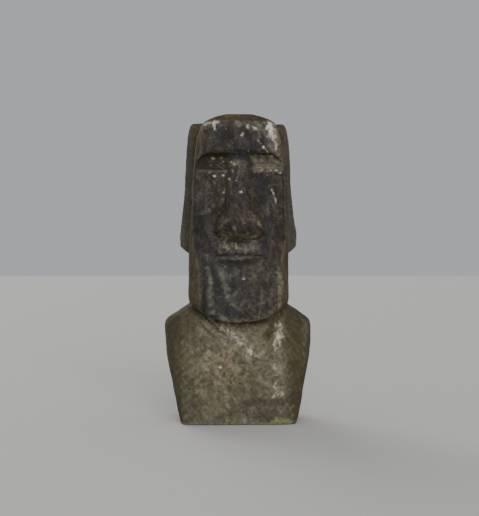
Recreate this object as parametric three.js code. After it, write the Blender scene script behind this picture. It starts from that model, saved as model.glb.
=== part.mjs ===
// A moai: a monolithic stone head on a tapering bust, cut flat below.
// Millimetres, +Z up, the face looks along -Y, the origin is the middle of the footprint.
//
// The whole stone is one skin of four-sided cells. Its rows run from the foot to the crown, and its
// columns run from the middle of the face round to the middle of the back. The rows give the bulk of the
// stone, the columns follow the nose, the cheeks and the ears, and the face is carved by moving the skin
// forward or back.
import * as THREE from "three";

// ---------------------------------------------------------------- heights of the carved features
const TOTAL_HEIGHT = 2300;
const LIP_HOLLOW_Z = 1180; // dip between the lower lip and the chin
const MOUTH_Z = 1247;
const NOSE_BASE_Z = 1349; // where the middle of the nose leaves the upper lip
const NOSTRIL_Z = 1399;
const WING_Z = 1455; // middle of the nose wings
const CHEEK_LEDGE_Z = 1881; // upper edge of the cheeks, the floor of the eye sockets
const BROW_Z = 1994; // lower edge of the brow
const FOREHEAD_TOP_Z = 2190;

// ---------------------------------------------------------------- half widths on the face
const BROW_ARCH_START = 215; // the brow's lower edge is level as far as this, then arches down
const SOCKET_END = 323; // and meets the cheek ledge here
const MOUTH_HALF = 164;
const NOSTRIL_X = 93;
const WING_X = 126;

// ---------------------------------------------------------------- carving depths
const LEDGE_DEPTH = 30; // how far the cheek ledge stands before the socket's floor
const SOCKET_DEPTH = 88; // the socket under the brow
const EAR_CHANNEL_DEPTH = 16;
const JAW_CURVE = 2.3; // how sharply the jaw line rises from the chin to the side
const CROWN_DROP = 60; // the crown's sides lie this much below its flat top
const CROWN_FLAT_HALF = 80;
const CROWN_EDGE_HALF = 268;

// A smooth function through [position, value] pairs, constant beyond both ends.
function through(knots) {
  const curve = new THREE.CubicInterpolant(
    knots.map((k) => k[0]),
    knots.map((k) => k[1]),
    1,
  );
  return (at) => curve.evaluate(at)[0];
}

const { lerp, smoothstep } = THREE.MathUtils;

// ---------------------------------------------------------------- the bulk of the stone
// The bust, from the foot to the dip under the lip. Each station gives the reach and the height of the
// skin at the front, at the side and at the back, how square its plan is, and how many rows lead to the
// next station.
const BUST = [
  { front: [262, 0], side: [420, 0], back: [316, 0], square: 9, rows: 1 },
  { front: [272, 5], side: [432, 5], back: [327, 5], square: 9, rows: 1 },
  { front: [276, 20], side: [437, 20], back: [331, 20], square: 9, rows: 3 },
  { front: [287, 300], side: [498, 300], back: [342, 300], square: 5.2, rows: 2 },
  { front: [291, 500], side: [538, 500], back: [344, 500], square: 3.8, rows: 2 },
  { front: [278, 630], side: [554, 680], back: [336, 690], square: 3.1, rows: 2 },
  { front: [262, 678], side: [553, 741], back: [328, 745], square: 2.9, rows: 2 },
  { front: [247, 706], side: [526, 787], back: [317, 790], square: 2.8, rows: 2 },
  { front: [229, 748], side: [350, 880], back: [289, 890], square: 3, rows: 1 },
  { front: [226, 780], side: [330, 903], back: [282, 935], square: 3.4, rows: 1 },
  { front: [290, 758], side: [354, 892], back: [281, 965], square: 4, rows: 1 },
  { front: [320, 751], side: [369, 894], back: [282, 990], square: 4.2, rows: 1 },
  { front: [334, 776], side: [377, 925], back: [285, 1015], square: 4.4, rows: 2 },
  { front: [338, 900], side: [378, 1000], back: [292, 1080], square: 4.8, rows: 3 },
  { front: [292, LIP_HOLLOW_Z], side: [373, LIP_HOLLOW_Z], back: [306, LIP_HOLLOW_Z], square: 6, rows: 0 },
];

// The head above that dip, by height.
const faceReach = through([
  [LIP_HOLLOW_Z, 292], [1247, 282], [1349, 270], [1600, 262], [CHEEK_LEDGE_Z, 262],
  [BROW_Z, 292], [2107, 286], [FOREHEAD_TOP_Z, 273], [2249, 261], [2283, 244], [TOTAL_HEIGHT, 214],
]);
const headSide = through([
  [LIP_HOLLOW_Z, 373], [1362, 368], [1600, 356], [CHEEK_LEDGE_Z, 340], [2107, 318],
  [FOREHEAD_TOP_Z, 304], [2249, 292], [2283, 281], [TOTAL_HEIGHT, 258],
]);
const headBack = through([
  [LIP_HOLLOW_Z, 306], [1300, 317], [1500, 330], [1800, 336], [2107, 322], [FOREHEAD_TOP_Z, 306],
  [2249, 288], [2283, 262], [TOTAL_HEIGHT, 222],
]);
const headSquare = through([
  [LIP_HOLLOW_Z, 6], [1400, 8], [1600, 11], [CHEEK_LEDGE_Z, 15], [2107, 12], [2249, 10], [TOTAL_HEIGHT, 8],
]);

// ---------------------------------------------------------------- outlines that the columns follow
const noseHalf = through([
  [1180, 163], [1325, 163], [NOSE_BASE_Z, 138], [1374, 156], [1419, 176], [1470, 175], [1522, 160],
  [1566, 126], [1617, 110], [1728, 101], [1850, 92], [1911, 90], [1960, 106], [BROW_Z, 132], [2107, 132],
]);
const earFront = through([[700, -90], [1267, -76], [1400, -70], [1520, -36], [1800, -16], [2260, 4]]);
const earBack = through([[700, 150], [1267, 128], [1400, 138], [1520, 126], [1800, 136], [2260, 154]]);
const earOuter = through([
  [1325, 436], [1399, 441], [1492, 433], [1647, 416], [1834, 402], [1989, 395],
  [2150, 386], [2249, 377], [2283, 366], [TOTAL_HEIGHT, 344],
]);
const EAR_BOTTOM_Z = 1258;
const EAR_LOBE_Z = 1318;
const earTopLift = through([[2190, 0], [2249, 4], [2283, 14], [TOTAL_HEIGHT, 18]]);
// The half width behind the ears, where head, neck and shoulders meet with no undercut.
const napeSide = through([
  [500, 538], [690, 554], [745, 553], [790, 526], [890, 384], [935, 362], [990, 357], [1080, 366],
  [LIP_HOLLOW_Z, 373],
]);

// The lower edge of the brow at distance a from the middle.
function browEdge(a) {
  const t = THREE.MathUtils.clamp((a - BROW_ARCH_START) / (SOCKET_END - BROW_ARCH_START), 0, 1);
  return CHEEK_LEDGE_Z + (BROW_Z - CHEEK_LEDGE_Z) * Math.max(Math.sqrt(1 - t * t), 0.12);
}

// ---------------------------------------------------------------- the carving of the face
const ridgeRise = through([
  [NOSE_BASE_Z, 0], [1362, 36], [1385, 88], [1408, 128], [1428, 146], [1450, 150], [1500, 131],
  [1600, 98], [1700, 70], [1800, 46], [CHEEK_LEDGE_Z, 26], [1940, -4], [1970, -22], [BROW_Z, -30],
]);
const lipRise = through([
  [LIP_HOLLOW_Z, 0], [1196, 6], [1210, 16], [1222, 23], [1234, 26], [1241, 25], [MOUTH_Z, 4], [1253, 27],
  [1266, 33], [1300, 24], [NOSE_BASE_Z, 12], [1374, 0],
]);

// The eye socket: a shallow slot that is deepest under the brow. It counts backwards.
function socket(a, z) {
  if (z < CHEEK_LEDGE_Z || z > browEdge(a) || a > SOCKET_END - 2) return 0;
  const up = (z - CHEEK_LEDGE_Z) / (BROW_Z - CHEEK_LEDGE_Z);
  return lerp(LEDGE_DEPTH, SOCKET_DEPTH, up) * lerp(1, 0.1, smoothstep(a, 258, SOCKET_END - 4));
}

// One rounded wing of the nose.
function noseWing(a, z) {
  const across = (a - WING_X) / 51;
  const along = (z - WING_Z) / (z > WING_Z ? 108 : 82);
  return 94 * Math.pow(Math.max(0, 1 - across * across - along * along), 0.4);
}

// The nose over the surface that it stands on, which lies at level foot.
function nose(a, z, foot) {
  const half = noseHalf(z);
  if (z < NOSE_BASE_Z || z > BROW_Z || a >= half) return foot;
  const ridgeHalf = Math.min(half, 116);
  const s = Math.min(1, a / ridgeHalf);
  const ridge = foot + (ridgeRise(z) - foot) * Math.pow(1 - s * s * s, 0.62);
  const wing = noseWing(a, z);
  return wing > 0 ? Math.hypot(ridge ** 2, wing ** 2) ** 0.5 : ridge;
}

// A nostril: a round hollow in the slanting underside of the nose.
function nostril(a, z) {
  const across = (a - NOSTRIL_X) / 36;
  const along = (z - NOSTRIL_Z) / 17;
  return 30 * Math.exp(-across * across - along * along);
}

// The raised block of the upper lip, the mouth line and the lower lip.
function lips(a, z) {
  if (z > 1374 || z < LIP_HOLLOW_Z) return 0;
  const fadeFrom = z < MOUTH_Z ? MOUTH_HALF - 70 : MOUTH_HALF - 9;
  return lipRise(z) * (1 - smoothstep(a, fadeFrom, MOUTH_HALF + 6));
}

// How far the skin stands before the plain block at x, z.
function relief(x, z) {
  const a = Math.abs(x);
  const foot = -socket(Math.max(a, noseHalf(z)), z);
  const ground = a < noseHalf(z) ? nose(a, z, foot) : -socket(a, z);
  return ground - nostril(a, z) + lips(a, z);
}

// ---------------------------------------------------------------- rows
function headRow(z) {
  return {
    front: [faceReach(z), z],
    side: [headSide(z), z],
    back: [headBack(z), z],
    square: headSquare(z),
    nape: 0,
  };
}

// Rows between the stations of the bust, on smooth curves through them.
function bustRows() {
  const along = (key) =>
    new THREE.CatmullRomCurve3(BUST.map((s) => new THREE.Vector3(...s[key], s.square)), false, "centripetal");
  const curves = { front: along("front"), side: along("side"), back: along("back") };
  const rows = [];
  BUST.forEach((station, i) => {
    for (let k = 0; k < station.rows; k++) {
      const t = (i + k / station.rows) / (BUST.length - 1);
      const at = Object.fromEntries(Object.entries(curves).map(([key, c]) => [key, c.getPoint(t)]));
      rows.push({
        front: [at.front.x, at.front.y],
        side: [at.side.x, at.side.y],
        back: [at.back.x, at.back.y],
        square: at.front.z,
        nape: smoothstep(at.back.y, 500, 501),
      });
    }
  });
  return rows;
}

// Heights from one level up to another, the last one left out.
function span(from, to, count) {
  return Array.from({ length: count }, (_, i) => from + ((to - from) * i) / count);
}

const HEAD_LEVELS = [
  ...span(LIP_HOLLOW_Z, MOUTH_Z - 6, 4),
  MOUTH_Z - 6, MOUTH_Z, MOUTH_Z + 6,
  ...span(MOUTH_Z + 19, NOSE_BASE_Z - 4, 3),
  ...span(NOSE_BASE_Z - 4, 1433, 7),
  ...span(1433, 1600, 7),
  ...span(1600, CHEEK_LEDGE_Z - 4, 4),
  CHEEK_LEDGE_Z - 4, CHEEK_LEDGE_Z + 4,
  ...span(CHEEK_LEDGE_Z + 30, BROW_Z - 4, 3),
  BROW_Z - 4, BROW_Z + 4,
  ...span(BROW_Z + 32, FOREHEAD_TOP_Z, 3),
  FOREHEAD_TOP_Z, 2249, 2283, TOTAL_HEIGHT,
];

// ---------------------------------------------------------------- columns
// Half of the plan, from the middle of the front to the middle of the back. Each column gives x and y on
// the row's plan, and what it follows.
const NOSE_SHARES = [0, 0.3, 0.55, 0.75, 0.9, 0.975];
const CHEEK_SHARES = [0, 0.2, 0.45, 0.72, 1];
const CORNER_ANGLES = [56, 42, 27];
const NOSE_FOOT_GAP = 7; // the crease beside the nose
const CHEEK_END_ANGLE = 70;
const EAR_WALL = 8; // the ear's front and back walls lean by this much
const EAR_RIM = 30;

// A point of the superellipse with these half axes at an angle from the side towards the front.
function corner(width, reach, square, degrees) {
  const t = THREE.MathUtils.degToRad(degrees);
  return [width * Math.cos(t) ** (2 / square), reach * Math.sin(t) ** (2 / square)];
}

// How far the same superellipse reaches in the other direction, at a distance from its middle.
function across(at, half, reach, square) {
  return reach * (1 - Math.min(1, Math.abs(at) / half) ** square) ** (1 / square);
}

function columns(row) {
  const [frontReach, zFront] = row.front;
  const [halfWidth, zSide] = row.side;
  const backReach = row.back[0];
  const half = noseHalf(zFront);
  const cheekEnd = corner(halfWidth, frontReach, row.square, CHEEK_END_ANGLE)[0];
  const footX = Math.min(half + NOSE_FOOT_GAP, 0.66 * cheekEnd);
  const onFront = (x) => ({ x, y: -across(x, halfWidth, frontReach, row.square), part: "face" });
  const widthAt = (y) => lerp(halfWidth, napeSide(row.back[1]), row.nape * smoothstep(y, 0, 0.5 * backReach));
  const onSide = (y, part) => {
    const reach = y < 0 ? frontReach : backReach;
    return { x: across(y, reach, widthAt(y), row.square), y, part };
  };
  const front = NOSE_SHARES.map((s) => onFront(s * footX));
  const cheek = CHEEK_SHARES.map((s) => onFront(lerp(footX, cheekEnd, s)));
  const turn = CORNER_ANGLES.map((d) => {
    const [x, y] = corner(halfWidth, frontReach, row.square, d);
    return { x, y: -y, part: "corner" };
  });
  const e0 = Math.max(earFront(zSide), -0.45 * frontReach);
  const e1 = Math.min(earBack(zSide), 0.6 * backReach);
  const side = [
    onSide((turn[2].y + e0) / 2, "side"),
    onSide(e0 - EAR_WALL, "side"),
    onSide(e0 + EAR_WALL, "ear"),
    onSide(e0 + EAR_RIM, "ear"),
    onSide(lerp(e0 + EAR_RIM, e1 - EAR_RIM, 0.2), "channel"),
    onSide(lerp(e0 + EAR_RIM, e1 - EAR_RIM, 0.8), "channel"),
    onSide(e1 - EAR_RIM, "ear"),
    onSide(e1 - EAR_WALL, "ear"),
    onSide(e1 + EAR_WALL, "back"),
  ];
  const backTurn = [30, 45, 62].map((d) => {
    const [x, y] = corner(widthAt(backReach), backReach, row.square, d);
    return { x, y, part: "back" };
  });
  const lastX = backTurn[2].x;
  const back = [0.62, 0.3, 0].map((s) => ({
    x: s * lastX,
    y: across(s * lastX, widthAt(backReach), backReach, row.square),
    part: "back",
  }));
  return [...front, ...cheek, ...turn, ...side, ...backTurn, ...back];
}

// ---------------------------------------------------------------- the skin
// The height of a row at a column: the front height rises to the side height along the jaw's curve, and
// the side height passes smoothly into the back height.
function height(row, c) {
  const [, zFront] = row.front;
  const [halfWidth, zSide] = row.side;
  const [backReach, zBack] = row.back;
  if (c.y > 0) return lerp(zSide, zBack, smoothstep(c.y, 0, 0.9 * backReach));
  return lerp(zFront, zSide, Math.min(1, c.x / halfWidth) ** JAW_CURVE);
}

// Rows between the cheek ledge and the forehead bend down with the brow's arch, and level out again on
// the way round the corner of the face.
function bendToBrow(z, x, halfWidth) {
  if (z <= CHEEK_LEDGE_Z || z >= FOREHEAD_TOP_Z) return z;
  const edge = lerp(browEdge(Math.abs(x)), BROW_Z, smoothstep(Math.abs(x) / halfWidth, 0.93, 1));
  if (z <= BROW_Z) return lerp(CHEEK_LEDGE_Z, edge, (z - CHEEK_LEDGE_Z) / (BROW_Z - CHEEK_LEDGE_Z));
  return lerp(edge, FOREHEAD_TOP_Z, (z - BROW_Z) / (FOREHEAD_TOP_Z - BROW_Z));
}

function crownDrop(a) {
  const t = THREE.MathUtils.clamp((a - CROWN_FLAT_HALF) / (CROWN_EDGE_HALF - CROWN_FLAT_HALF), 0, 1);
  return CROWN_DROP * t ** 1.6;
}

// The ear: a long slab that stands out from the side of the head, with a shallow channel down its face.
function ear(c, z, halfWidth) {
  if (z < EAR_BOTTOM_Z || (c.part !== "ear" && c.part !== "channel")) return 0;
  const out = Math.max(0, earOuter(z) - halfWidth) * smoothstep(z, EAR_BOTTOM_Z, EAR_LOBE_Z);
  const inChannel = smoothstep(z, EAR_LOBE_Z + 20, EAR_LOBE_Z + 60) * (1 - smoothstep(z, 2090, 2150));
  return out - (c.part === "channel" ? EAR_CHANNEL_DEPTH * inChannel : 0);
}

function skinPoint(row, c) {
  let z = height(row, c);
  const onFace = c.part === "face" || c.part === "corner";
  if (onFace) z = bendToBrow(z, c.x, row.side[0]);
  const y = onFace && z > 780 ? c.y - relief(c.x, z) * faceShare(row, c) : c.y;
  const x = c.x + ear(c, z, c.x);
  if (c.part === "ear" || c.part === "channel") z += earTopLift(z);
  return new THREE.Vector3(x, y, z - crownDrop(c.x) * smoothstep(z, 2100, 2249));
}

// The carving fades out round the corner of the face.
function faceShare(row, c) {
  return c.part === "face" ? 1 : 1 - smoothstep(Math.abs(c.x) / row.side[0], 0.97, 1);
}

// A closed ring of points: the half plan, then its mirror image without the two points in the middle.
function ring(row) {
  const half = columns(row).map((c) => skinPoint(row, c));
  const mirrored = half.slice(1, -1).reverse().map((p) => new THREE.Vector3(-p.x, p.y, p.z));
  return [...half, ...mirrored];
}

// Rings that shrink to the middle of the crown, on the crown's own surface.
function crownRings(edge) {
  const middle = new THREE.Vector3(0, 0, TOTAL_HEIGHT);
  return [0.76, 0.52, 0.3].map((share) =>
    edge.map((p) => {
      const x = p.x * share;
      const y = p.y * share;
      return new THREE.Vector3(x, y, middle.z - crownDrop(Math.abs(x)));
    }),
  );
}

function stone() {
  const rings = [...bustRows(), ...HEAD_LEVELS.map(headRow)].map(ring);
  rings.push(...crownRings(rings.at(-1)));
  const count = rings[0].length;
  const points = rings.flat();
  const foot = points.push(new THREE.Vector3(0, 0, 0)) - 1;
  const top = points.push(new THREE.Vector3(0, 0, TOTAL_HEIGHT)) - 1;
  const faces = [];
  for (let r = 0; r + 1 < rings.length; r++) {
    for (let i = 0; i < count; i++) {
      const a = r * count + i;
      const b = r * count + ((i + 1) % count);
      faces.push(a, b, b + count, a, b + count, a + count);
    }
  }
  const last = (rings.length - 1) * count;
  for (let i = 0; i < count; i++) {
    const next = (i + 1) % count;
    faces.push(foot, next, i);
    faces.push(top, last + i, last + next);
  }
  return new THREE.BufferGeometry().setFromPoints(points).setIndex(faces);
}

// The footprint's box stands in the middle of the frame.
function centred(geometry) {
  geometry.computeBoundingBox();
  const { min, max } = geometry.boundingBox;
  return geometry.translate(-(min.x + max.x) / 2, -(min.y + max.y) / 2, -min.z);
}

const tuff = new THREE.MeshStandardMaterial({ color: 0x5a5042, roughness: 0.9, metalness: 0 });
const moai = new THREE.Mesh(centred(stone()), tuff);
moai.name = "moai";

const part = new THREE.Group();
part.add(moai);
export default part;
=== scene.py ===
"""A moai: one block of volcanic tuff, hewn, weathered and grown with lichen, round its CAD solid."""

import math

import bpy
import numpy as np
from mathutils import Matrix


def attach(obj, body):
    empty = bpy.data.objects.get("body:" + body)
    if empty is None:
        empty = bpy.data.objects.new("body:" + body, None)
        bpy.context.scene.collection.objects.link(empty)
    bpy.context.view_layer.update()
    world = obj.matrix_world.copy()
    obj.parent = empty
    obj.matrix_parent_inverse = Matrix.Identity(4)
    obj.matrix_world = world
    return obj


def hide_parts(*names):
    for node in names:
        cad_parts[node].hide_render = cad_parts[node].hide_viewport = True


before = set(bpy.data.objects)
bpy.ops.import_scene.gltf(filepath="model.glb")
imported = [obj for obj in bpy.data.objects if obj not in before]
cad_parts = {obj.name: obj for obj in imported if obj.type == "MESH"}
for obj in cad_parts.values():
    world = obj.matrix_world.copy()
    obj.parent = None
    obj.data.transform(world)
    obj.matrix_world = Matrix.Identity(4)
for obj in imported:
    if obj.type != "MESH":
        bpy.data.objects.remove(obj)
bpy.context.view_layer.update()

# ------------------------------------------------------------------ sizes, in metres
CELL = 0.0055  # the even mesh that takes the weathering
MOST_TRIANGLES = 192_000
SHARP, ARRIS = math.radians(38), 0.55  # edges this sharp keep a tight arris, of this crease
WORN_ROUND_Z = 2.10  # above this the weather has rounded every edge
SOLE_Z, FOOT_FADE = 0.030, 0.012  # the cut underside stays flat; the weathering starts just above it
WANDER, FRAY = 0.05, 0.003  # waves in the painted marks, and how far they move an edge

# Places on the figure: a Z is a height and a HALF a distance from the middle; the face looks along -Y.
FACE_Y = -0.1  # all of the face lies in front of this
CHIN_Z, JAW_END_Z, JAW_HALF, JAW_CURVE, JAW_BLUR = 0.742, 0.885, 0.37, 2.3, 0.006
LIPS_FROM_Z, LIP_TOP_Z, LIPS_HALF = 1.19, 1.374, 0.2
NOSE_BASE_Z, NOSE_TOP_Z, NOSE_HALF, NOSE_FROM_Y = 1.35, 1.87, 0.18, -0.252
NOSE_UNDER = ((0, 1.390), (0.05, 1.398), (0.10, 1.418), (0.18, 1.424))  # halves and heights
NOSE_BLUR = 0.014
SOCKET_Z, SOCKET_TOP_Z, SOCKET_HALF = 1.873, 2.012, 0.33
BROW_Z = 1.992
CRUST_TOP_Z = 2.226
# how far the crust reaches to each side, as heights and halves
CRUST_SIDES = ((0.75, 0.29), (1.12, 0.295), (1.40, 0.36), (1.88, 0.36), (1.98, 0.29), (2.30, 0.27))
EAR_FROM = 0.345

# Fades: a mask is 0 at the first value and 1 at the second.
BROW_LINE, BROW_ENDS = (0.030, 0.004), (0.31, 0.25)  # from the brow's edge, and from the middle
BROW_ROUND, BROW_ROUND_ENDS, BROW_MIDDLE = (0.09, 0.04), (0.33, 0.28), (0.14, 0.06)
CHEST_TOP, CHEST_SIDES = (0.80, 0.70), (0.46, 0.30)
SOCKET_BACK = (-0.226, -0.208)
LEFT_HALF = (0.02, -0.04)
CROWN = (CRUST_TOP_Z - 0.008, CRUST_TOP_Z + 0.022)
CRUST_SIDE_BLUR = (-0.035, 0.020)
EAR_EDGE = (EAR_FROM - 0.006, EAR_FROM + 0.010)
CHIPPED_EDGE, WORN_AND_LIT_EDGE, HOLLOW_SHADE = (0.0012, 0.0035), (0.0004, 0.0030), (-0.0003, -0.0025)

# Fades over a direction, from 0 (seen edge on) to 1 (seen square on).
CUT_FACING, MARK_FACING = (0.1, 0.5), (0.05, 0.4)
CRUST_FACING, FEATURE_CRUST_FACING = (0.50, 0.82), (0.40, 0.75)
FLANK_FACING, BUST_SIDE_FACING, BACK_FACING = (0.65, 0.35), (0.92, 0.40), (0.35, -0.30)
EAR_FACING, LEDGE_FACING, SOLE_FACING = (0.75, 0.95), (0.15, 0.5), (0.9, 1)


# ------------------------------------------------------------------ small helpers
def only(piece):
    """Selects one piece and nothing else."""
    bpy.ops.object.select_all(action="DESELECT")
    piece.select_set(True)
    bpy.context.view_layer.objects.active = piece


def work(piece, kind, **settings):
    """Adds a modifier to a piece and applies it."""
    modifier = piece.modifiers.new(kind.title(), kind)
    for name, value in settings.items():
        setattr(modifier, name, value)
    only(piece)
    bpy.ops.object.modifier_apply(modifier=modifier.name)


def vertex_data(mesh, what):
    """The vertices' places ("co") or directions ("normal") as an array."""
    data = np.zeros(len(mesh.vertices) * 3, np.float32)
    mesh.vertices.foreach_get(what, data)
    return data.reshape(-1, 3).astype(float)


def ease(low, high, values):
    """0 at low, 1 at high, smooth between them and level beyond; low may be the larger."""
    t = np.clip((values - low) / (high - low), 0, 1)
    return t * t * (3 - 2 * t)


def limit_to(piece, name, weights):
    """A vertex group that tells a modifier where, and how strongly, to work."""
    group = piece.vertex_groups.new(name=name)
    steps = 24
    levels = np.rint(np.clip(weights, 0, 1) * steps).astype(int)
    for level in range(1, steps + 1):
        chosen = np.flatnonzero(levels == level)
        if chosen.size:
            group.add(chosen.tolist(), level / steps, "REPLACE")


def ripple(flat, length):
    """An uneven wobble between -1 and 1, with waves of about this length."""
    x, z = flat.T * (math.tau / length)
    return (np.sin(x + 1.7 * np.sin(0.6 * z)) + np.sin(0.8 * z - 0.7 * x + 1.1)) / 2


def brushed(place, marks):
    """How strongly the marks cover each vertex; their width and edge wander a little."""
    cover = np.zeros(len(place))
    flat = place[:, [0, 2]]
    fatness, frayed = 1 + 0.4 * ripple(flat, WANDER), FRAY * ripple(flat, 0.6 * WANDER)
    for width, strength, *points in marks:
        half = width / 1000 * fatness
        nearest = np.full(len(place), np.inf)
        for start, end in zip(points, points[1:]):
            start, along = np.array(start), np.subtract(end, start)
            share = np.clip((flat - start) @ along / max(along @ along, 1e-9), 0, 1)
            gap = np.linalg.norm(flat - start - share[:, None] * along, axis=1)
            nearest = np.minimum(nearest, gap)
        cover = np.maximum(cover, strength * ease(1.6 * half, 0.1 * half, nearest + frayed))
    return cover


def colour(hex_value):
    """An sRGB hex value as linear colour."""
    parts = [int(hex_value[i : i + 2], 16) / 255 for i in (1, 3, 5)]
    return [p / 12.92 if p <= 0.04045 else ((p + 0.055) / 1.055) ** 2.4 for p in parts] + [1.0]


# ------------------------------------------------------------------ the block
NOSTRILS = ((-0.122, -0.322, 1.392), (0.108, -0.322, 1.393))
NOSTRIL_REACH = (0.050, 0.042, 0.022)


def carve_nostrils(block):
    """Two oval hollows in the slanting underside of the nose."""
    for middle in NOSTRILS:
        bpy.ops.object.select_all(action="DESELECT")
        bpy.ops.mesh.primitive_uv_sphere_add(
            segments=40, ring_count=20, radius=1, location=middle, scale=NOSTRIL_REACH
        )
        cutter = bpy.context.object
        work(block, "BOOLEAN", object=cutter, operation="DIFFERENCE", solver="EXACT")
        bpy.data.objects.remove(cutter)


def rough_out():
    """The CAD skin made one smooth closed surface with crisp arrises, then an even mesh to weather."""
    block = bpy.data.objects.new("weathered_block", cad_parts["moai"].data.copy())
    bpy.context.collection.objects.link(block)
    only(block)
    bpy.ops.object.mode_set(mode="EDIT")
    bpy.ops.mesh.select_all(action="SELECT")
    bpy.ops.mesh.remove_doubles(threshold=1e-5)
    bpy.ops.mesh.tris_convert_to_quads(face_threshold=math.pi, shape_threshold=math.pi)
    bpy.ops.mesh.select_mode(type="EDGE")
    bpy.ops.mesh.select_all(action="DESELECT")
    bpy.ops.mesh.edges_select_sharp(sharpness=SHARP)
    bpy.ops.object.mode_set(mode="OBJECT")
    up = vertex_data(block.data, "co")[:, 2]
    for edge in block.data.edges:
        edge.select = edge.select and bool(max(up[list(edge.vertices)]) < WORN_ROUND_Z)
    bpy.ops.object.mode_set(mode="EDIT")
    bpy.ops.transform.edge_crease(value=ARRIS)
    bpy.ops.object.mode_set(mode="OBJECT")
    work(block, "SUBSURF", levels=2, render_levels=2)
    carve_nostrils(block)
    work(block, "REMESH", mode="VOXEL", voxel_size=CELL)
    return block


def smoothed(piece, passes):
    """The vertices' places and directions after some smoothing; the piece itself stays as it is."""
    modifier = piece.modifiers.new("Surroundings", "SMOOTH")
    modifier.factor, modifier.iterations = 0.5, passes
    mesh = piece.evaluated_get(bpy.context.evaluated_depsgraph_get()).to_mesh()
    data = vertex_data(mesh, "co"), vertex_data(mesh, "normal")
    piece.modifiers.remove(modifier)
    return data


def standing_proud(piece, passes):
    """How far each vertex stands out of its smoothed surroundings; below them it is negative."""
    surroundings, directions = smoothed(piece, passes)
    return np.einsum("ij,ij->i", vertex_data(piece.data, "co") - surroundings, directions)


def pattern(name, size, stops=None, depth=1):
    """A solid texture for shaping; stops turn it into hollows (0) in a whole surface (1)."""
    texture = bpy.data.textures.new(name, "CLOUDS")
    texture.noise_scale, texture.noise_depth = size, depth
    if stops:
        texture.use_color_ramp = True
        for element, (position, level) in zip(texture.color_ramp.elements, stops):
            element.position, element.color = position, (level, level, level, 1)
    return texture


# Cuts on the front: half width in millimetres, strength, then points in metres across and up.
CUTS = [
    (22, 1.0, (-0.166, 1.404), (-0.140, 1.424), (-0.100, 1.434), (-0.062, 1.426)),
    (22, 0.9, (0.168, 1.412), (0.140, 1.432), (0.100, 1.440), (0.068, 1.430)),
    (10, 0.8, (0.120, 1.940), (0.160, 1.930), (0.215, 1.942), (0.260, 1.928), (0.300, 1.934)),
    (9, 0.7, (0.150, 1.912), (0.190, 1.905), (0.235, 1.917), (0.300, 1.903)),
    (9, 0.5, (-0.115, 1.950), (-0.170, 1.928), (-0.250, 1.920)),
    (9, 0.5, (-0.110, 1.925), (-0.170, 1.902), (-0.260, 1.900)),
    (12, 0.9, (-0.250, 0.790), (-0.170, 0.720), (-0.079, 0.649)),
    (11, 0.7, (-0.300, 0.770), (-0.230, 0.690), (-0.153, 0.625)),
    (13, 0.8, (0.300, 0.800), (0.262, 0.720), (0.212, 0.650)),
    (11, 0.5, (0.250, 0.780), (0.225, 0.710), (0.190, 0.660)),
]
CUT_DEPTH = 0.011
BROW_PASSES = 70  # smoothing that blunts the brow's lower edge


def relief_groups(block):
    """Vertex groups that say where each kind of relief goes."""
    place, facing = smoothed(block, passes=2)
    across, z = np.abs(place[:, 0]), place[:, 2]
    from_brow = np.abs(z - BROW_Z)
    skin = ease(0, FOOT_FADE, z) * (1 - ease(*SOLE_FACING, -facing[:, 2]) * (z < SOLE_Z))
    chest = ease(*CHEST_TOP, z) * ease(*CHEST_SIDES, across)
    near_brow = ease(*BROW_ROUND, from_brow) * ease(*BROW_ROUND_ENDS, across) * (place[:, 1] < FACE_Y)
    groups = {
        "cut": brushed(place, CUTS) * ease(*CUT_FACING, -facing[:, 1]),
        "brow": ease(*BROW_LINE, from_brow) * ease(*BROW_ENDS, across),
        "brow_edge": near_brow * (0.3 + 0.7 * ease(*BROW_MIDDLE, across)),
        "skin": skin,
        "edges": skin * ease(*CHIPPED_EDGE, standing_proud(block, passes=14)),
        "pitted": skin * (0.2 + 0.8 * chest),
    }
    for name, weights in groups.items():
        limit_to(block, name, weights)


def weather(block):
    """A blunter brow, then carved lines, hewing, tool dressing, chipped edges, gas pores and grain."""
    block.data.update()
    relief_groups(block)
    work(block, "SMOOTH", vertex_group="brow_edge", factor=1.0, iterations=BROW_PASSES)
    for group, depth, level, texture in (
        ("cut", -CUT_DEPTH, 0, None),
        ("brow", 0.030, 0.62, pattern("brow", 0.075, depth=2)),
        ("skin", 0.014, 0.5, pattern("hewn", 0.30)),
        ("skin", 0.006, 0.5, pattern("dressed", 0.085)),
        ("edges", 0.011, 1.0, pattern("chipped", 0.07, [(0.45, 1), (0.70, 0)], depth=2)),
        ("pitted", 0.006, 1.0, pattern("pores", 0.020, [(0.66, 1), (0.78, 0)])),
        ("pitted", 0.0025, 0.5, pattern("crumb", 0.030)),
        ("skin", 0.0022, 0.5, pattern("grain", 0.014, depth=0)),
    ):
        work(
            block,
            "DISPLACE",
            texture=texture,
            texture_coords="LOCAL",
            vertex_group=group,
            strength=depth,
            mid_level=level,
        )
    block.vertex_groups.clear()
    place = vertex_data(block.data, "co")
    place[:, 2] = np.maximum(place[:, 2], 0)
    block.data.vertices.foreach_set("co", place.astype(np.float32).ravel())
    block.data.update()
    triangles = sum(len(p.vertices) - 2 for p in block.data.polygons)
    if triangles > MOST_TRIANGLES:
        work(block, "DECIMATE", ratio=MOST_TRIANGLES / triangles)
    only(block)
    bpy.ops.object.shade_smooth()
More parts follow.
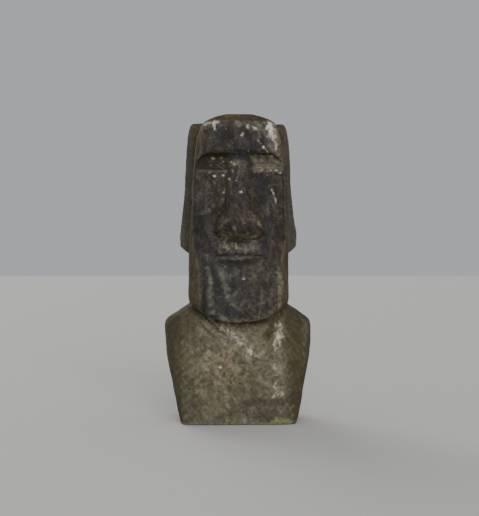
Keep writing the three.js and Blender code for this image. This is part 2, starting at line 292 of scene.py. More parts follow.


# ------------------------------------------------------------------ what has grown and run on it, with painted shade and highlights
# Marks on the front, as cuts are given: half width in millimetres, strength, then points in metres.
LICHEN_AND_HIGHLIGHTS = [  # crisp and nearly white; a few are painted highlights
    (15, 1.0, (-0.252, 2.212), (-0.215, 2.224), (-0.160, 2.228)),
    (12, 1.2, (-0.194, 2.220), (-0.183, 2.212), (-0.180, 2.178)),
    # partly painted highlight: the bright patch at the forehead's upper right corner
    (36, 1.1, (0.226, 2.205), (0.238, 2.165), (0.246, 2.120)),
    (24, 1.6, (0.226, 2.205), (0.236, 2.155)),
    (10, 0.7, (0.258, 2.110), (0.268, 2.060), (0.270, 2.012)),
    (14, 0.7, (0.060, 2.214), (0.064, 2.196)),
    (11, 0.9, (0.100, 2.192), (0.114, 2.184)),
    (11, 1.0, (0.130, 2.174), (0.134, 2.168)),
    (8, 0.6, (0.126, 2.096), (0.142, 2.084), (0.158, 2.062)),
    (10, 1.0, (0.178, 2.042), (0.184, 2.032)),
    (8, 0.65, (0.186, 2.028), (0.199, 2.011), (0.222, 1.994)),
    (7, 0.7, (0.176, 1.983), (0.196, 1.982)),
    (8, 0.7, (0.242, 1.984), (0.246, 1.978)),
    (8, 0.6, (0.064, 2.017), (0.066, 2.013)),
    (9, 0.8, (0.018, 2.128), (0.026, 2.142)),
    (8, 0.8, (-0.202, 1.967), (-0.186, 1.966)),
    (8, 0.9, (-0.134, 1.971), (-0.130, 1.969)),
    (8, 0.7, (-0.123, 1.943), (-0.117, 1.941)),
    (10, 1.3, (-0.185, 1.830), (-0.181, 1.828)),
    (8, 0.8, (-0.220, 1.852), (-0.214, 1.850)),
    (8, 0.9, (-0.118, 1.840), (-0.114, 1.834)),
    (7, 0.6, (-0.178, 1.783), (-0.176, 1.781)),
    (9, 0.9, (-0.079, 1.810), (-0.073, 1.800)),
    (11, 0.6, (-0.056, 1.934), (-0.036, 1.920)),
    (10, 0.6, (-0.006, 1.908), (-0.002, 1.902)),
    (9, 0.7, (-0.050, 1.874), (-0.046, 1.864)),
    (10, 0.7, (0.040, 1.894), (0.043, 1.886)),
    (7, 0.45, (-0.001, 1.882), (-0.012, 1.837), (-0.028, 1.780)),
    (9, 1.1, (0.002, 1.708), (0.012, 1.708)),
    (10, 0.5, (-0.108, 1.738), (-0.114, 1.704)),
    (7, 0.6, (0.202, 1.839), (0.204, 1.835)),
    (9, 0.6, (0.238, 1.734), (0.252, 1.700), (0.264, 1.668)),
    (11, 1.0, (0.264, 1.662), (0.264, 1.640)),
    # painted highlight along the front edge of the right cheek ledge
    (5, 0.7, (0.135, 1.875), (0.308, 1.875)),
    (9, 0.8, (0.294, 1.860), (0.304, 1.856)),
    (10, 0.7, (-0.046, 1.450), (-0.034, 1.436)),
    (9, 0.7, (-0.018, 1.414), (-0.012, 1.412)),
    (22, 0.35, (-0.104, 1.320), (-0.094, 1.290)),
    (11, 0.7, (-0.098, 1.290), (-0.092, 1.284)),
    (13, 0.4, (-0.024, 1.322), (-0.030, 1.286)),
    (11, 0.35, (0.034, 1.280), (0.042, 1.260)),
    (10, 1.1, (-0.122, 1.176), (-0.118, 1.172)),
    (9, 0.7, (0.032, 1.078), (0.038, 1.074)),
    (40, 0.55, (-0.110, 0.715), (-0.060, 0.668), (-0.014, 0.634), (0.054, 0.566), (0.104, 0.520)),
    (30, 0.75, (0.084, 0.542), (0.104, 0.520)),
    (16, 0.7, (-0.046, 0.650), (-0.020, 0.636)),
    (32, 0.8, (0.296, 0.724), (0.288, 0.640), (0.266, 0.586)),
    (24, 1.0, (0.292, 0.672), (0.280, 0.610)),
    (22, 0.45, (0.262, 0.450), (0.280, 0.372), (0.260, 0.280), (0.280, 0.222)),
    (22, 0.6, (0.252, 0.212), (0.276, 0.224), (0.304, 0.224)),
    (9, 1.0, (-0.345, 0.541), (-0.342, 0.538)),
    (11, 1.0, (-0.140, 0.430), (-0.137, 0.425)),
    (16, 0.4, (0.286, 0.140), (0.300, 0.090)),
]
BLOOM_AND_HIGHLIGHTS = [  # soft and grey, where rain lingers; some are painted highlights
    # painted highlight on the lower rim of each nostril
    (8, 0.9, (-0.135, 1.374), (-0.090, 1.371)),
    (8, 0.9, (0.080, 1.377), (0.125, 1.381)),
    (34, 0.5, (-0.270, 2.200), (-0.100, 2.215)),
    (22, 0.8, (-0.020, 2.216), (0.280, 2.212)),
    (40, 0.5, (0.080, 2.190), (0.280, 2.170)),
    (16, 0.5, (0.130, 2.200), (0.150, 2.100)),
    (16, 0.5, (0.190, 2.200), (0.200, 2.060)),
    (56, 0.9, (0.245, 2.180), (0.262, 2.020)),
    # the right socket and the underside of the right brow lightened: paler stone, and painted light
    (30, 0.7, (0.110, 1.944), (0.310, 1.930)),
    (12, 0.9, (0.120, 1.992), (0.290, 1.984)),
    (26, 1.0, (0.110, 1.902), (0.300, 1.898)),
    (6, 0.8, (-0.205, 1.942), (-0.160, 1.915), (-0.116, 1.886)),
    (6, 0.6, (-0.170, 1.952), (-0.110, 1.905)),
    # painted highlight along the front edge of each cheek ledge
    (12, 0.6, (-0.300, 1.866), (-0.100, 1.866)),
    (13, 0.7, (0.110, 1.866), (0.310, 1.868)),
    (26, 0.4, (-0.290, 1.690), (-0.200, 1.790)),
    (26, 0.4, (-0.280, 1.560), (-0.130, 1.650)),
    (34, 0.5, (-0.050, 1.926), (0.050, 1.926)),
    (30, 0.35, (-0.060, 1.820), (-0.050, 1.700)),
    (22, 0.35, (0.084, 1.562), (0.155, 1.460)),
    (22, 0.35, (-0.074, 1.523), (-0.140, 1.460)),
    (30, 0.38, (0.250, 1.640), (0.290, 1.500)),
    (24, 0.3, (0.210, 1.620), (0.200, 1.500)),
    (60, 0.6, (-0.110, 1.312), (0.100, 1.312)),
    (60, 0.25, (-0.050, 1.500), (0.060, 1.500)),
    (28, 0.8, (-0.108, 1.335), (-0.092, 1.292)),
    (16, 0.5, (0.090, 1.345), (0.130, 1.340)),
    (30, 0.35, (-0.120, 1.385), (0.120, 1.385)),
    # painted highlight on the lower lip
    (18, 0.55, (-0.150, 1.226), (0.080, 1.226)),
    (24, 0.6, (0.085, 1.162), (0.155, 1.186)),
    (90, 0.35, (-0.140, 1.120), (0.200, 1.120)),
    (110, 0.35, (-0.150, 0.900), (0.200, 0.930)),
    (22, 0.6, (-0.233, 1.161), (-0.209, 1.048), (-0.217, 0.926), (-0.221, 0.813)),
    (34, 0.6, (-0.149, 1.161), (-0.112, 1.060), (-0.080, 0.926), (-0.011, 0.862)),
    (30, 0.6, (-0.210, 0.840), (-0.100, 0.776), (0.060, 0.762), (0.200, 0.800), (0.300, 0.900)),
    (24, 0.7, (0.110, 0.800), (0.180, 0.790)),
    (24, 0.8, (0.292, 1.110), (0.306, 0.980)),
    # the broad lit band down the chest, the lit ridge on its right and the lit edges of the neck folds:
    # partly painted highlight, partly grey bloom
    (44, 0.6, (-0.230, 0.740), (-0.150, 0.640), (-0.060, 0.590)),
    (90, 0.5, (-0.180, 0.640), (0.020, 0.640), (0.160, 0.460)),
    (80, 1.1, (-0.060, 0.660), (0.104, 0.520)),
    (48, 0.9, (0.290, 0.700), (0.272, 0.560)),
    (11, 0.9, (0.303, 0.815), (0.300, 0.730)),
    (12, 0.9, (-0.225, 0.790), (-0.150, 0.715), (-0.040, 0.645)),
    (10, 0.7, (-0.282, 0.712), (-0.153, 0.599)),
    (70, 0.55, (-0.240, 0.740), (-0.090, 0.650)),
    (70, 0.6, (0.270, 0.460), (0.275, 0.240)),
    (60, 0.5, (0.160, 0.520), (0.200, 0.400)),
    (40, 0.4, (-0.060, 0.120), (0.040, 0.020)),
    (14, 0.6, (-0.400, 0.012), (0.380, 0.012)),
]
SOOT_AND_SHADE = [  # run-off on the cheeks and foot, and painted shade under the brow, in the sockets, the creases, the mouth and the neck folds
    (16, 0.8, (-0.262, 1.100), (-0.258, 0.960), (-0.254, 0.850)),
    (34, 0.9, (-0.205, 1.200), (-0.168, 1.048), (-0.150, 0.926), (-0.090, 0.835)),
    (24, 0.5, (-0.040, 1.100), (-0.030, 1.020)),
    (40, 0.5, (-0.290, 1.640), (-0.300, 1.480), (-0.280, 1.340)),
    # painted shade under the brow, in the left socket, in the right socket's wrinkles and along the
    # left cheek ledge
    (28, 0.9, (-0.130, 1.976), (-0.040, 1.985), (0.020, 1.975), (0.070, 1.950), (0.095, 1.920)),
    (44, 1.1, (-0.290, 1.920), (-0.220, 1.940), (-0.150, 1.950)),
    (14, 0.3, (0.130, 1.972), (0.270, 1.966)),
    (7, 0.7, (0.140, 1.934), (0.190, 1.926), (0.230, 1.934), (0.290, 1.920)),
    (6, 0.5, (0.120, 1.912), (0.180, 1.908), (0.240, 1.914)),
    (6, 0.8, (-0.300, 1.882), (-0.120, 1.880)),
    (26, 0.7, (-0.300, 1.896), (-0.130, 1.892)),
    # painted shade in the creases beside the nose, along the mouth, under the lower lip and in the neck
    # folds
    (14, 0.8, (-0.166, 1.402), (-0.142, 1.426), (-0.100, 1.436), (-0.072, 1.430)),
    (13, 0.75, (0.166, 1.410), (0.140, 1.430), (0.100, 1.440), (0.078, 1.432)),
    (26, 0.7, (-0.160, 1.185), (0.160, 1.178)),
    (6, 1.0, (-0.140, 1.247), (-0.070, 1.247)),
    (6, 1.0, (0.080, 1.247), (0.155, 1.247)),
    (8, 0.9, (-0.245, 0.785), (-0.170, 0.720), (-0.079, 0.649)),
    (7, 0.7, (-0.290, 0.760), (-0.230, 0.690), (-0.165, 0.635)),
    (9, 0.5, (0.282, 0.790), (0.250, 0.725), (0.212, 0.655)),
    (9, 0.7, (-0.080, 0.658), (-0.072, 0.650)),
    # run-off stains and a darker band near the foot
    (50, 0.5, (-0.320, 0.165), (-0.190, 0.172)),
    (50, 0.7, (0.060, 0.172), (0.200, 0.165), (0.370, 0.175)),
    (70, 0.6, (0.100, 0.080), (0.360, 0.080)),
    (14, 0.8, (0.052, 0.100), (0.058, 0.078)),
    (12, 0.8, (-0.205, 0.378), (-0.190, 0.374)),
    (12, 0.8, (0.018, 0.385), (0.028, 0.368)),
    (9, 0.6, (-0.165, 0.300), (-0.145, 0.240)),
]
BARE_TAN = [  # where the crust has fallen away
    (56, 0.8, (-0.200, 0.540), (-0.185, 0.450), (-0.150, 0.330)),
    (30, 1.0, (-0.205, 0.450), (-0.195, 0.435)),
    (60, 0.7, (-0.110, 0.540), (-0.060, 0.440), (0.010, 0.360)),
    (50, 0.7, (-0.150, 0.330), (-0.050, 0.330)),
    (26, 0.6, (-0.110, 0.300), (-0.090, 0.120), (-0.080, 0.020)),
    (60, 0.4, (-0.340, 0.440), (-0.300, 0.260)),
    (46, 0.6, (-0.110, 1.306), (0.110, 1.312)),
    (24, 0.6, (-0.108, 1.330), (-0.092, 1.290)),
    (22, 0.5, (0.080, 1.345), (0.120, 1.340)),
    (22, 0.7, (0.037, 1.560), (0.021, 1.475)),
    (20, 0.6, (0.060, 1.562), (0.150, 1.466)),
    (18, 0.5, (-0.074, 1.523), (-0.140, 1.460)),
    (60, 0.3, (-0.060, 1.480), (0.070, 1.480)),
    (30, 0.4, (0.266, 1.120), (0.272, 0.960)),
]
BROWN = [  # iron stain on the crust
    (50, 1.0, (0.280, 1.620), (0.300, 1.430), (0.260, 1.250)),
    (90, 0.9, (0.120, 1.150), (0.200, 1.000), (0.130, 0.860)),
    (50, 0.6, (-0.230, 1.780), (-0.160, 1.700)),
    (26, 0.9, (0.200, 1.800), (0.225, 1.790)),
    (110, 1.6, (-0.060, 1.500), (0.060, 1.500)),
    (40, 0.7, (0.010, 1.760), (0.040, 1.600)),
    (50, 0.6, (-0.080, 2.180), (0.020, 2.180)),
    (60, 0.5, (-0.240, 2.080), (-0.170, 2.030)),
]
SHOULDERS = [  # sheltered and rubbed, without crust or lichen
    (36, 0.9, (0.310, 0.820), (0.255, 0.735), (0.212, 0.655)),
    (26, 0.7, (0.090, 0.748), (0.240, 0.770)),
    (40, 0.8, (0.372, 0.860), (0.365, 0.620)),
    (24, 0.5, (-0.330, 0.860), (-0.300, 0.800)),
    (150, 0.8, (-0.480, 0.800), (-0.520, 0.600), (-0.520, 0.300), (-0.500, 0.060)),
    (70, 0.6, (-0.350, 0.820), (-0.400, 0.650)),
    (90, 0.9, (0.430, 0.860), (0.420, 0.500), (0.440, 0.250), (0.460, 0.060)),
]
MOSS = [  # yellow-green, along the foot
    (26, 0.8, (0.250, 0.014), (0.300, 0.034), (0.370, 0.012)),
    (14, 0.6, (0.262, 0.056), (0.276, 0.050)),
    (12, 0.5, (-0.420, 0.008), (0.250, 0.006)),
]


def store(mesh, name, *masks):
    """Three masks in one colour attribute."""
    rows = np.stack([*masks, np.ones(len(masks[0]))], axis=1)
    layer = mesh.attributes.new(name, "FLOAT_COLOR", "POINT")
    layer.data.foreach_set("color", rows.astype(np.float32).ravel())


def grow(block):
    """Marks where crust, lichen, run-off and moss lie, and where shade and highlights are painted, as
    attributes that the material reads.
    """
    mesh = block.data
    mesh.update()
    place, facing = smoothed(block, passes=5)
    x, y, z = np.abs(place[:, 0]), place[:, 1], place[:, 2]
    to_front = -facing[:, 1]
    front = ease(*MARK_FACING, to_front)
    proud = standing_proud(block, passes=6)

    # the head and its parts
    jaw = CHIN_Z + (JAW_END_Z - CHIN_Z) * np.minimum(x / JAW_HALF, 1) ** JAW_CURVE
    head = ease(-JAW_BLUR, JAW_BLUR, z - jaw)
    face = head * (y < FACE_Y)
    sockets = face * (x < SOCKET_HALF) * (z > SOCKET_Z) * (z < SOCKET_TOP_Z) * ease(*SOCKET_BACK, y)
    # the left socket is painted darker and browner than the right: a painted shadow of the nose
    shaded_left_socket = sockets * ease(*LEFT_HALF, place[:, 0])
    nose = (x < NOSE_HALF) & (y < NOSE_FROM_Y) & (z > NOSE_BASE_Z) & (z < NOSE_TOP_Z)
    nose_base = nose * ease(NOSE_BLUR, -NOSE_BLUR, z - np.interp(x, *np.transpose(NOSE_UNDER)))
    shaded_nose_flanks = nose * ease(*FLANK_FACING, to_front) * (1 - nose_base)
    lips = (face * (x < LIPS_HALF) * (z > LIPS_FROM_Z) * (z < LIP_TOP_Z) > 0) & ~nose
    ledges = face * ease(*LEDGE_FACING, facing[:, 2]) * (z < CRUST_TOP_Z)
    side = np.interp(z, *np.transpose(CRUST_SIDES))
    face_sides = head * ease(side + CRUST_SIDE_BLUR[0], side + CRUST_SIDE_BLUR[1], x)
    crown = ease(*CROWN, z)
    ears = head * ease(*EAR_FACING, to_front) * ease(*EAR_EDGE, x)

    # the crust reaches round the edges of the nose and the lips, and elsewhere only to the arris
    tan = front * brushed(place, BARE_TAN)
    shown = np.where(nose | lips, ease(*FEATURE_CRUST_FACING, to_front), ease(*CRUST_FACING, to_front))
    shown = np.maximum(shown, 0.8 * ledges)
    left_on = (1 - face_sides) * (1 - 0.85 * sockets) * (1 - crown) * (1 - nose_base)
    crust = head * shown * left_on * (1 - 0.5 * np.minimum(tan, 1))

    # the brown of sheltered and rubbed stone, and painted shade in the left socket
    turned = np.where(head > 0.5, 1 - shown, ease(*BUST_SIDE_FACING, to_front))
    shoulders = (1 - head) * brushed(place, SHOULDERS)
    rubbed_and_shaded = 0.8 * np.maximum(front * face_sides, shaded_left_socket)
    ochre = np.maximum.reduce([turned, nose_base, crown, shoulders, rubbed_and_shaded])

    # the flanks of the nose are darkened as painted shade, together with the soot and shade marks
    soot_and_shade = np.maximum(front * brushed(place, SOOT_AND_SHADE), 0.55 * shaded_nose_flanks)
    behind = ease(*BACK_FACING, to_front) * (1 - 0.55 * crown)
    store(mesh, "cover", crust, ochre, front * brushed(place, MOSS))
    store(mesh, "marks", front * brushed(place, LICHEN_AND_HIGHLIGHTS), soot_and_shade, np.maximum(tan, 0.35 * crown))
    store(mesh, "stains_and_highlights", front * brushed(place, BLOOM_AND_HIGHLIGHTS), front * brushed(place, BROWN), behind)
    # darkening in the hollows is painted shade; the proud edges are worn and partly painted highlight
    store(mesh, "wear_and_shade", ease(*WORN_AND_LIT_EDGE, proud) * (1 - nose), ease(*HOLLOW_SHADE, proud), ears)


# ------------------------------------------------------------------ materials
def add(tree, kind, inputs=None, stops=None, **settings):
    """One node with its settings, its colour stops, and its inputs as values or links."""
    made = tree.nodes.new(kind)
    for name, value in settings.items():
        setattr(made, name, value)
    for name, value in (inputs or {}).items():
        if isinstance(value, bpy.types.NodeSocket):
            tree.links.new(value, made.inputs[name])
        else:
            made.inputs[name].default_value = value
    if stops:
        ramp = made.color_ramp.elements
        while len(ramp) < len(stops):
            ramp.new(1.0)
        for element, (position, tone) in zip(ramp, stops):
            element.position, element.color = position, colour(tone)
    return made


def per_metre(millimetres):
    """The scale that repeats a pattern every so many millimetres."""
    return 1000 / millimetres


def weathered_tuff():
    """Lapilli tuff, hewn with stone picks and left outdoors.

    Bare, it is a dull olive-tan ash with centimetre-sized fragments. The face has a dark, slightly waxy
    crust of lichen and soot, pale lichen sits where rain lingers, and run-off leaves upright streaks.
    """
    material = bpy.data.materials.new("weathered_tuff")
    material.use_nodes = True
    tree = material.node_tree
    tree.nodes.clear()

    def noise(millimetres, detail, roughness=0.6, vector=None, distortion=0.0):
        inputs = {
            "Vector": vector or place,
            "Scale": per_metre(millimetres),
            "Detail": detail,
            "Roughness": roughness,
            "Distortion": distortion,
        }
        return add(tree, "ShaderNodeTexNoise", inputs).outputs["Fac"]

    def cells(millimetres):
        """The distance to the nearest of many scattered points, and a chance colour for each."""
        inputs = {"Vector": place, "Scale": per_metre(millimetres)}
        return add(tree, "ShaderNodeTexVoronoi", inputs).outputs

    def sums(operation, a, b=0.0, clamp=False):
        inputs = {0: a, 1: b}
        return add(tree, "ShaderNodeMath", inputs, operation=operation, use_clamp=clamp).outputs[0]

    def weigh(*parts):
        """The sum of values times their weights."""
        total = sums("MULTIPLY", *parts[0])
        for value, weight in parts[1:]:
            total = sums("ADD", total, sums("MULTIPLY", value, weight))
        return total

    def between(value, low, high, floor=0.0, top=1.0):
        inputs = {"Value": value, "From Min": low, "From Max": high, "To Min": floor, "To Max": top}
        step = add(tree, "ShaderNodeMapRange", inputs, interpolation_type="SMOOTHSTEP")
        return step.outputs["Result"]

    def over(share, below, above, blend="MIX"):
        inputs = {0: share, 6: below, 7: above}
        return add(tree, "ShaderNodeMix", inputs, data_type="RGBA", blend_type=blend).outputs[2]

    def tones(value, *stops):
        return add(tree, "ShaderNodeValToRGB", {"Fac": value}, stops).outputs["Color"]

    def masks(name):
        layer = add(tree, "ShaderNodeAttribute", attribute_name=name).outputs["Color"]
        parts = add(tree, "ShaderNodeSeparateColor", {"Color": layer})
        return [parts.outputs[i] for i in range(3)]

    def drawn_out(across, along, lean=0.0):
        """The place squeezed so that a pattern runs upright, or leans by some degrees."""
        leaning = {"Vector": place, "Rotation": (0, math.radians(lean), 0)}
        turned = add(tree, "ShaderNodeMapping", leaning).outputs["Vector"]
        squeezed = {"Vector": turned, "Scale": (1, 1, across / along)}
        return add(tree, "ShaderNodeMapping", squeezed).outputs["Vector"]

    def threads(value, width):
        """Thin wandering lines where a noise crosses its middle."""
        return between(sums("ABSOLUTE", sums("SUBTRACT", value, 0.5)), width, 0.0)

    place = add(tree, "ShaderNodeTexCoord").outputs["Object"]
    crust, ochre, moss = masks("cover")
    lichen_and_highlights, soot_and_shade, tan = masks("marks")
    bloom_and_highlights, brown, behind = masks("stains_and_highlights")
    worn_and_lit_edge, hollow_shade, ears = masks("wear_and_shade")

    # patterns by size in millimetres; real ash grains are under 2 mm, drawn coarser so that they show
    broad = noise(330, 3)
    blotch = noise(130, 5, 0.62)
    mottle = noise(44, 6, 0.66, distortion=0.3)
    crumb = noise(22, 3, 0.6)
    grain = noise(6, 3, 0.7)
    runs = noise(34, 4, 0.6, drawn_out(34, 260))
    wipe = noise(22, 3, 0.6, drawn_out(22, 140, 32))
    scratch = threads(noise(80, 2, 0.6, drawn_out(80, 200, 35), distortion=0.8), 0.03)
    scratch = sums("MULTIPLY", scratch, between(blotch, 0.44, 0.62))
    vein = threads(noise(70, 2, 0.6, drawn_out(70, 160, -28), distortion=1.0), 0.025)
    vein = sums("MULTIPLY", vein, between(broad, 0.46, 0.60))

    # bare tuff: olive-tan ash, mottled by its fragments
    ash = tones(
        weigh((mottle, 0.3), (crumb, 0.2), (blotch, 0.3), (wipe, 0.2)),
        (0.38, "#423f31"),
        (0.46, "#585443"),
        (0.54, "#6b6653"),
        (0.64, "#87816b"),
    )
    tan_stone = tones(
        weigh((mottle, 0.5), (crumb, 0.5)),
        (0.36, "#5e5340"),
        (0.50, "#80735b"),
        (0.64, "#a0937a"),
    )
    gaps = between(weigh((cells(36)["Distance"], 1.0), (sums("SUBTRACT", crumb, 0.5), 1.2)), 0.45, 0.80)
    tan_cover = between(weigh((tan, 1.0), (sums("SUBTRACT", mottle, 0.5), 2.0)), 0.05, 1.05)
    skin = over(sums("MULTIPLY", tan_cover, 0.75), ash, tan_stone)
    skin = over(sums("MULTIPLY", gaps, 0.30), skin, colour("#2b261a"))
    skin = over(sums("MULTIPLY", scratch, 0.25), skin, colour("#a59c84"))

    # sheltered sides: warm, dark and rubbed smooth; behind, greyer where algae and dust have settled
    side_stone = tones(
        weigh((wipe, 0.3), (mottle, 0.25), (blotch, 0.45)),
        (0.38, "#342e20"),
        (0.50, "#453d2a"),
        (0.62, "#58503a"),
    )
    patches = between(weigh((broad, 0.4), (blotch, 0.4), (crumb, 0.2)), 0.46, 0.60)
    settled = tones(mottle, (0.4, "#4f4c3c"), (0.6, "#7b7660"))
    side_stone = over(sums("MULTIPLY", sums("MULTIPLY", behind, patches), 0.6), side_stone, settled)
    streaks = between(noise(70, 4, 0.6, drawn_out(70, 520)), 0.52, 0.66)
    side_stone = over(sums("MULTIPLY", streaks, 0.35), side_stone, colour("#211d13"))
    side_cover = between(weigh((ochre, 1.0), (sums("SUBTRACT", blotch, 0.5), 1.0)), 0.05, 0.95)
    skin = over(side_cover, skin, side_stone)

    # the dark crust of the face, here bluish, there brown
    cloud = noise(60, 4, 0.5, distortion=0.4)
    tone = weigh((cloud, 0.45), (runs, 0.30), (wipe, 0.15), (crumb, 0.10))
    cool = tones(tone, (0.40, "#151417"), (0.48, "#1c1b1e"), (0.55, "#262525"), (0.64, "#363432"))
    warm = tones(tone, (0.40, "#171310"), (0.48, "#201b17"), (0.55, "#2a241f"), (0.64, "#3c342c"))
    hue = between(weigh((broad, 0.5), (blotch, 0.5), (brown, 0.22)), 0.42, 0.66)
    crust_stone = over(hue, cool, warm)
    wisps = noise(60, 4, 0.6, drawn_out(60, 130, 22), distortion=0.7)
    wisps = sums("MULTIPLY", between(wisps, 0.44, 0.68), between(crumb, 0.38, 0.60, 0.5))
    wisp_stone = over(hue, colour("#4a4746"), colour("#50483f"))
    crust_stone = over(sums("MULTIPLY", wisps, 0.6), crust_stone, wisp_stone)
    lines = sums("MULTIPLY", sums("MAXIMUM", scratch, vein), 0.18)
    crust_stone = over(lines, crust_stone, colour("#857a69"))
    crust_cover = between(weigh((crust, 1.0), (sums("SUBTRACT", cloud, 0.5), 1.2)), 0.15, 0.85)
    skin = over(sums("MULTIPLY", crust_cover, 0.94), skin, crust_stone)

    # ears: smooth, even and grey
    ear_stone = tones(weigh((crumb, 0.4), (runs, 0.6)), (0.38, "#36342f"), (0.62, "#504d46"))
    skin = over(sums("MULTIPLY", ears, 0.9), skin, ear_stone)

    # soft grey bloom with painted highlights, streaked and granular, and soot and painted shade over it
    ragged = weigh((mottle, 0.4), (crumb, 0.35), (runs, 0.25))
    dust = weigh((bloom_and_highlights, 0.9), (sums("SUBTRACT", ragged, 0.5), 1.7))
    bloom_and_highlight_cover = sums("MULTIPLY", between(dust, 0.0, 1.15), between(bloom_and_highlights, 0.0, 0.4))
    bloom_and_highlight_tone = tones(mottle, (0.4, "#5e5b4f"), (0.62, "#8c8776"))
    skin = over(sums("MULTIPLY", bloom_and_highlight_cover, 0.70), skin, bloom_and_highlight_tone)
    # soot, and painted shade, laid over the bloom
    soot_and_shade_cover = between(weigh((soot_and_shade, 1.0), (sums("SUBTRACT", mottle, 0.5), 1.2)), 0.10, 1.05)
    skin = over(sums("MULTIPLY", soot_and_shade_cover, 0.62), skin, colour("#1a1916"))

    # fragments and specks of lichen, more of them where there is bloom
    spots = cells(24)
    picked = add(tree, "ShaderNodeSeparateColor", {"Color": spots["Color"]}).outputs
    ragged_gap = weigh((spots["Distance"], 1.0), (sums("SUBTRACT", crumb, 0.5), 0.9))
    near = between(ragged_gap, 0.36, 0.02)
    likely = weigh((picked[0], 1.0), (bloom_and_highlights, 0.30), (sums("SUBTRACT", blotch, 0.5), 1.6), (ochre, -0.6))
    pale_spot = sums("MULTIPLY", near, between(likely, 0.86, 1.05))
    dark_spot = sums("MULTIPLY", near, between(picked[1], 0.80, 0.92))
    skin = over(sums("MULTIPLY", pale_spot, 0.35), skin, colour("#948e7b"))
    skin = over(sums("MULTIPLY", dark_spot, 0.35), skin, colour("#1c1912"))

    # painted glints: rare tiny pale flecks that stand in for sparkle off the stone
    glint_cells = cells(15)
    chosen = add(tree, "ShaderNodeSeparateColor", {"Color": glint_cells["Color"]}).outputs[0]
    likely = weigh((chosen, 1.0), (sums("SUBTRACT", mottle, 0.5), 1.2), (ochre, -0.6))
    rare = between(likely, 0.97, 1.07)
    painted_glint = sums("MULTIPLY", between(glint_cells["Distance"], 0.45, 0.05), rare)
    skin = over(sums("MULTIPLY", painted_glint, 0.32), skin, colour("#8f8978"))

    # pale lichen with a ragged edge, with a few painted highlights among it
    patchy = weigh((sums("SUBTRACT", crumb, 0.5), 2.0), (sums("SUBTRACT", mottle, 0.5), 1.2))
    thick = sums("ADD", lichen_and_highlights, patchy)
    lichen_and_highlight_cover = sums("MULTIPLY", between(thick, 0.05, 1.15), between(lichen_and_highlights, 0.0, 0.45))
    lichen_and_highlight_skin = tones(
        sums("MULTIPLY", thick, 0.6),
        (0.15, "#86816d"),
        (0.45, "#aaa48f"),
        (0.85, "#dcd6c0"),
    )
    skin = over(sums("MULTIPLY", lichen_and_highlight_cover, 0.9), skin, lichen_and_highlight_skin)

    # moss at the foot, painted shade in the hollows, pale worn edges that are partly painted highlight
    moss_cover = between(weigh((moss, 1.0), (sums("SUBTRACT", crumb, 0.5), 1.8)), 0.15, 1.05)
    skin = over(sums("MULTIPLY", moss_cover, 0.8), skin, colour("#868a5c"))
    # painted shade: darker where the surface lies below its surroundings
    skin = over(sums("MULTIPLY", hollow_shade, 0.20), skin, colour("#15120c"))
    # proud edges paler: worn arrises, and partly painted arris highlights, more on the ears
    pale_and_lit_edges = sums("MULTIPLY", worn_and_lit_edge, sums("ADD", weigh((ochre, 0.25), (ears, 0.25)), 0.10))
    skin = over(pale_and_lit_edges, skin, colour("#93866a"))

    # a waxy crust against dull ash
    dullness = weigh((crust_cover, -0.14), (crumb, 0.30))
    roughness = sums("ADD", dullness, 0.74, clamp=True)

    # fine relief, shallower under the crust
    stone_relief = weigh((mottle, 0.9), (crumb, 0.5), (grain, 0.25))
    grown_relief = weigh((lichen_and_highlight_cover, 0.15), (dark_spot, -0.4), (gaps, -0.3))
    bump_inputs = {
        "Height": sums("ADD", stone_relief, grown_relief),
        "Strength": sums("ADD", sums("MULTIPLY", crust_cover, -0.20), 0.45),
        "Distance": 0.006,
    }
    surface_inputs = {
        "Base Color": skin,
        "Roughness": roughness,
        "Normal": add(tree, "ShaderNodeBump", bump_inputs).outputs["Normal"],
        "IOR": 1.5,
        "Specular IOR Level": 0.3,
    }
    surface = add(tree, "ShaderNodeBsdfPrincipled", surface_inputs)
    add(tree, "ShaderNodeOutputMaterial", {"Surface": surface.outputs["BSDF"]})
    return material


# ------------------------------------------------------------------ the statue
block = rough_out()
weather(block)
grow(block)
block.data.materials.clear()
block.data.materials.append(weathered_tuff())
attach(block, "root")
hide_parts("moai")


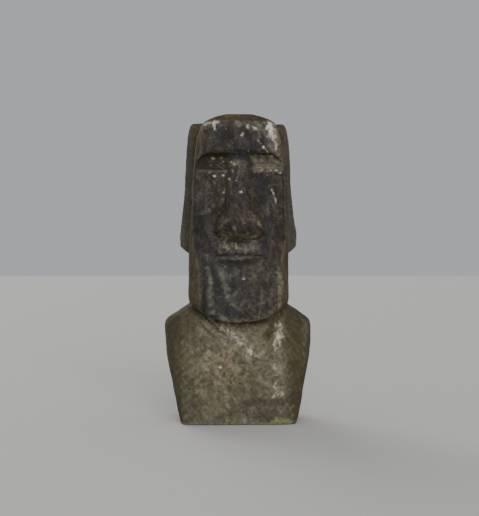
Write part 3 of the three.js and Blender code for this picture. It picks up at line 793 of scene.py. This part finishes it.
# ------------------------------------------------------------------ floor, light and camera
FLOOR_RADIUS, FLOOR_GAP = 60, 0.0005  # the gap keeps the floor clear of the underside
KEY_FROM, BACK_FILL_FROM, AIM = (0.7, -5.5, 3.6), (-2.5, 5.0, 4.0), (0, 0, 1.3)
LAMP_ANGLE = math.radians(40)  # wide, for soft shadows
CAMERA_DISTANCE, CAMERA_HEIGHT, CAMERA_ASIDE = 7.31, 1.228, 0.010
CAMERA_TURN = math.radians(-2.2)
FIELD_OF_VIEW = math.radians(30)  # over the frame's long side


def plain_floor():
    """A wide disc of pale studio paper: matt, with a faint sheen."""
    bpy.ops.object.select_all(action="DESELECT")
    bpy.ops.mesh.primitive_circle_add(
        vertices=64, radius=FLOOR_RADIUS, fill_type="NGON", location=(0, 0, -FLOOR_GAP)
    )
    floor = bpy.context.object
    floor.name = "studio_floor"
    material = bpy.data.materials.new("studio_paper")
    material.use_nodes = True
    paper = material.node_tree.nodes["Principled BSDF"].inputs
    paper["Base Color"].default_value = colour("#c9c7c3")
    paper["Roughness"].default_value = 0.9
    floor.data.materials.append(material)


def lamp(name, place, energy):
    """A wide, soft sun that shines from a place towards the figure."""
    data = bpy.data.lights.new(name, "SUN")
    data.energy, data.angle = energy, LAMP_ANGLE
    made = bpy.data.objects.new(name, data)
    bpy.context.scene.collection.objects.link(made)
    made.location = place
    x, y, z = np.subtract(AIM, place)
    made.rotation_euler = (math.acos(-z / math.hypot(x, y, z)), 0, math.atan2(y, x) - math.pi / 2)


def studio():
    """Even light from all round, a key in front and a fill behind."""
    world = bpy.data.worlds.new("studio")
    world.use_nodes = True
    sky = world.node_tree.nodes["Background"].inputs
    sky["Color"].default_value = colour("#d5d7da")
    sky["Strength"].default_value = 0.65
    bpy.context.scene.world = world
    lamp("key", KEY_FROM, 1.85)
    lamp("back_fill", BACK_FILL_FROM, 1.3)


def look():
    """The camera in front of the face, level and a little to one side."""
    data = bpy.data.cameras.new("camera")
    data.lens = data.sensor_width / 2 / math.tan(FIELD_OF_VIEW / 2)
    camera = bpy.data.objects.new("camera", data)
    bpy.context.scene.collection.objects.link(camera)
    camera.location = (
        CAMERA_DISTANCE * math.sin(CAMERA_TURN) + CAMERA_ASIDE,
        -CAMERA_DISTANCE * math.cos(CAMERA_TURN),
        CAMERA_HEIGHT,
    )
    camera.rotation_euler = (math.pi / 2, 0, CAMERA_TURN)
    bpy.context.scene.camera = camera


plain_floor()
studio()
look()
